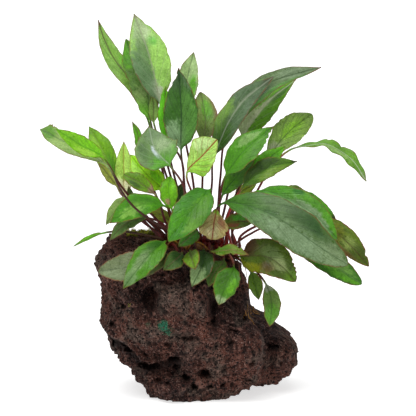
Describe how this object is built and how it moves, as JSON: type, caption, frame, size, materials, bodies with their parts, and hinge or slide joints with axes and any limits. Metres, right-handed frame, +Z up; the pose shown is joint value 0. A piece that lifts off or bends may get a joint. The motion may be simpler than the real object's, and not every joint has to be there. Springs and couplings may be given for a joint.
{
  "type": "aquarium plant on stone",
  "caption": "Crypt grown onto a lump of dark lava stone: a creeping rhizome on top of the stone carries a fan of stalked, lance-shaped green leaves.",
  "frame": {"origin": "on the floor, in the middle of the flat base that the stone rests on", "axes": "+Z up, square to the base; +X to the right as the picture shows the plant; +Y away from the viewer, so the front faces -Y"},
  "size_m": [0.1975, 0.1151, 0.2262],
  "materials": {
    "lava_stone": "matte",
    "rhizome": "matte",
    "leaf_fresh": "satin",
    "leaf_mid": "satin",
    "leaf_dark": "satin",
    "leaf_olive": "satin",
    "leaf_yellow": "satin",
    "leaf_underside": "satin"
  },
  "bodies": {
    "root": {"stone": "lava_stone", "rhizome": "rhizome", "leaf_tall_far_left": "leaf_mid", "leaf_tall_left": "leaf_mid", "leaf_tall_hidden": "leaf_fresh", "leaf_tallest": "leaf_mid", "leaf_centre_behind_left": "leaf_fresh", "leaf_centre": "leaf_dark", "leaf_centre_behind_top": "leaf_mid", "leaf_centre_behind_right": "leaf_olive", "leaf_centre_yellow": "leaf_yellow", "leaf_upper_right_front": "leaf_dark", "leaf_upper_right_long": "leaf_dark", "leaf_upper_right_bright": "leaf_fresh", "leaf_right_upright": "leaf_mid", "leaf_right_small": "leaf_mid", "leaf_right_blunt": "leaf_olive", "leaf_right_drooping": "leaf_fresh", "leaf_right_narrow": "leaf_fresh", "leaf_right_dark": "leaf_dark", "leaf_right_yellow": "leaf_yellow", "leaf_biggest": "leaf_dark", "leaf_low_right_upper": "leaf_dark", "leaf_low_right_back": "leaf_fresh", "leaf_low_right_olive": "leaf_olive", "leaf_low_right_under": "leaf_fresh", "leaf_low_right_tip": "leaf_olive", "leaf_under_biggest": "leaf_olive", "leaf_hanging_olive": "leaf_olive", "leaf_hanging_dark": "leaf_dark", "leaf_hanging_lowest": "leaf_mid", "leaf_front_pale": "leaf_fresh", "leaf_front_behind_pale": "leaf_mid", "leaf_front_dark": "leaf_dark", "leaf_front_short": "leaf_mid", "leaf_front_broad": "leaf_fresh", "leaf_under_broad": "leaf_dark", "leaf_front_underside": "leaf_underside", "leaf_front_arched": "leaf_fresh", "leaf_on_stone": "leaf_olive", "leaf_over_stone": "leaf_mid", "leaf_front_left_dark": "leaf_dark", "leaf_left_glossy": "leaf_mid", "leaf_left_bud": "leaf_fresh", "leaf_left_bright": "leaf_fresh", "leaf_left_dark": "leaf_dark", "leaf_left_yellow": "leaf_yellow", "leaf_left_tall_green": "leaf_mid", "leaf_left_olive": "leaf_olive", "leaf_left_tiny": "leaf_dark", "leaf_far_left_long": "leaf_mid", "leaf_far_left_bright": "leaf_fresh", "leaf_far_left_curled": "leaf_fresh", "leaf_low_left_bright": "leaf_fresh", "leaf_low_left_pale": "leaf_mid", "leaf_low_left_narrow": "leaf_dark", "leaf_heart_bright": "leaf_fresh", "leaf_heart_dark": "leaf_dark", "leaf_heart_yellow": "leaf_yellow"}
  },
  "joints": []
}
